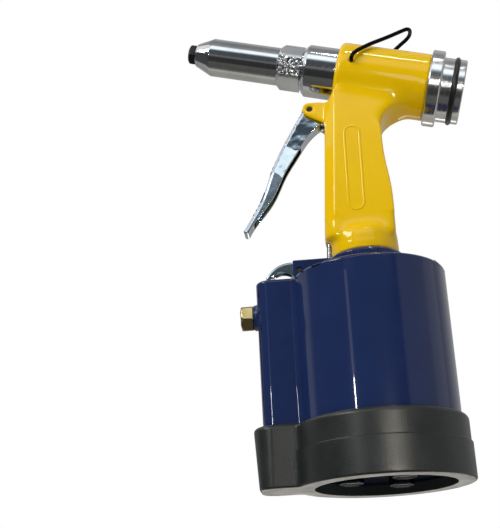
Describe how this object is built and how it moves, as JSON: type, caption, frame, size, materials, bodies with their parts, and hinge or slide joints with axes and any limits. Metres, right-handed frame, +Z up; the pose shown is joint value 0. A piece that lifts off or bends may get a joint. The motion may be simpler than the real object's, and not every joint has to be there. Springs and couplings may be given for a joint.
{
  "type": "pneumatic riveter",
  "caption": "Hand-held air-over-oil blind rivet gun: raked barrel with a nosepiece, cast grip with a lever trigger, air cylinder with a valve lobe, and a rubber boot.",
  "frame": {"origin": "on the air cylinder's axis, in the plane of the rubber boot's underside", "axes": "+Z up along the air cylinder's axis; -X towards the nose; Y across the tool, which is the same on both sides apart from the filling screw on +Y"},
  "size_m": [0.1828, 0.1018, 0.3008],
  "materials": {
    "yellow_enamel": "gloss yellow paint on an aluminium casting",
    "navy_enamel": "gloss navy paint on an aluminium casting",
    "cap_enamel": "satin navy paint on an aluminium plate",
    "boot_rubber": "matt black rubber with a fine grain",
    "seal_rubber": "smooth black rubber",
    "bumper_rubber": "matt black rubber",
    "plated_steel": "bright plated, fine turning marks",
    "chrome_plate": "bright chrome plate",
    "black_steel": "blackened hard steel",
    "black_wire": "gloss black wire",
    "turned_aluminium": "fine turned",
    "pin_steel": "ground",
    "zinc_steel": "zinc plated",
    "spring_steel": "oiled spring wire",
    "brass": "machined brass",
    "white_plastic": "plain"
  },
  "bodies": {
    "frame": {"body_casting": "yellow_enamel", "nose_sleeve": "plated_steel", "rod_bush": "brass", "rod_seal": "seal_rubber", "nose_housing": "plated_steel", "nosepiece": "black_steel", "rear_cap": "turned_aluminium", "rear_cap_seal": "seal_rubber", "collector_ring": "seal_rubber", "mandrel_tube": "turned_aluminium", "return_spring": "spring_steel", "ram_gland": "zinc_steel", "ram_seal": "seal_rubber", "ram_backup_ring": "white_plastic", "fill_washer": "seal_rubber", "fill_screw": "zinc_steel", "trigger_pin": "black_steel", "air_cylinder": "navy_enamel", "rocker_pin": "black_steel", "valve_bush": "brass", "valve_spring": "spring_steel", "inlet_bush": "brass", "cylinder_end_cap": "cap_enamel", "end_cap_seal": "seal_rubber", "end_cap_screws": "zinc_steel", "piston_bumper": "bumper_rubber", "rubber_boot": "boot_rubber"},
    "trigger": {"trigger": "chrome_plate"},
    "trigger_rod": {"trigger_rod": "pin_steel", "rod_nut": "zinc_steel"},
    "rocker": {"rocker": "chrome_plate"},
    "valve_stem": {"valve_stem": "pin_steel", "valve_seals": "seal_rubber"},
    "air_piston": {"air_piston": "turned_aluminium", "air_piston_seal": "seal_rubber", "ram": "pin_steel", "ram_washer": "zinc_steel", "ram_nut": "zinc_steel"},
    "pull_piston": {"pull_piston": "pin_steel", "pull_piston_seal": "seal_rubber", "pull_backup_ring": "white_plastic", "jaw_case": "pin_steel", "jaw_lock_nut": "zinc_steel", "jaw_spring": "spring_steel"},
    "jaw_pusher": {"jaw_pusher": "pin_steel"},
    "jaw_1": {"jaw_1": "black_steel"},
    "jaw_2": {"jaw_2": "black_steel"},
    "jaw_3": {"jaw_3": "black_steel"},
    "hook": {"hook": "black_wire"}
  },
  "joints": [
    {"name": "trigger_pull", "type": "hinge", "parent": "frame", "child": "trigger", "pos_m": [-0.0274, 0, 0.2394], "axis": [0, -1, 0], "range_deg": [0, 13], "stiffness_Nm_per_rad": 0.6, "springref_deg": -20.05},
    {"name": "trigger_rod_lift", "type": "slide", "parent": "frame", "child": "trigger_rod", "axis": [0.0698, 0, 0.9976], "range_m": [0, 0.0033]},
    {"name": "rocker_tilt", "type": "hinge", "parent": "frame", "child": "rocker", "pos_m": [-0.041, 0, 0.1306], "axis": [0, -1, 0], "range_deg": [0, 10]},
    {"name": "valve_stem_slide", "type": "slide", "parent": "frame", "child": "valve_stem", "axis": [0, 0, -1], "range_m": [0, 0.0033], "deforming": ["valve_spring"]},
    {"name": "air_piston_stroke", "type": "slide", "parent": "frame", "child": "air_piston", "axis": [0, 0, 1], "range_m": [0, 0.048]},
    {"name": "pull_piston_stroke", "type": "slide", "parent": "frame", "child": "pull_piston", "axis": [0.9659, 0, -0.2588], "range_m": [0, 0.016], "deforming": ["return_spring"]},
    {"name": "jaw_pusher_slide", "type": "slide", "parent": "pull_piston", "child": "jaw_pusher", "axis": [-0.9659, 0, 0.2588], "range_m": [0, 0.0031], "deforming": ["jaw_spring"]},
    {"name": "jaw_1_slide", "type": "slide", "parent": "pull_piston", "child": "jaw_1", "axis": [-0.9962, 0, 0.0872], "range_m": [0, 0.0031]},
    {"name": "jaw_2_slide", "type": "slide", "parent": "pull_piston", "child": "jaw_2", "axis": [-0.9288, 0.1504, 0.3388], "range_m": [0, 0.0031]},
    {"name": "jaw_3_slide", "type": "slide", "parent": "pull_piston", "child": "jaw_3", "axis": [-0.9288, -0.1504, 0.3388], "range_m": [0, 0.0031]},
    {"name": "hook_swing", "type": "hinge", "parent": "frame", "child": "hook", "pos_m": [0.00135, 0, 0.26464], "axis": [0, -1, 0], "range_deg": [0, 75]}
  ],
  "couplings": [
    {"joint": "trigger_rod_lift", "follows": "trigger_pull", "m_per_rad": 0.0135},
    {"joint": "rocker_tilt", "follows": "trigger_pull", "ratio": 0.716},
    {"joint": "valve_stem_slide", "follows": "trigger_pull", "m_per_rad": 0.0133},
    {"joint": "pull_piston_stroke", "follows": "air_piston_stroke", "ratio": 0.33333},
    {"joint": "jaw_pusher_slide", "follows": "air_piston_stroke", "ratio": 0.0625},
    {"joint": "jaw_1_slide", "follows": "air_piston_stroke", "ratio": 0.063464},
    {"joint": "jaw_2_slide", "follows": "air_piston_stroke", "ratio": 0.063464},
    {"joint": "jaw_3_slide", "follows": "air_piston_stroke", "ratio": 0.063464}
  ]
}
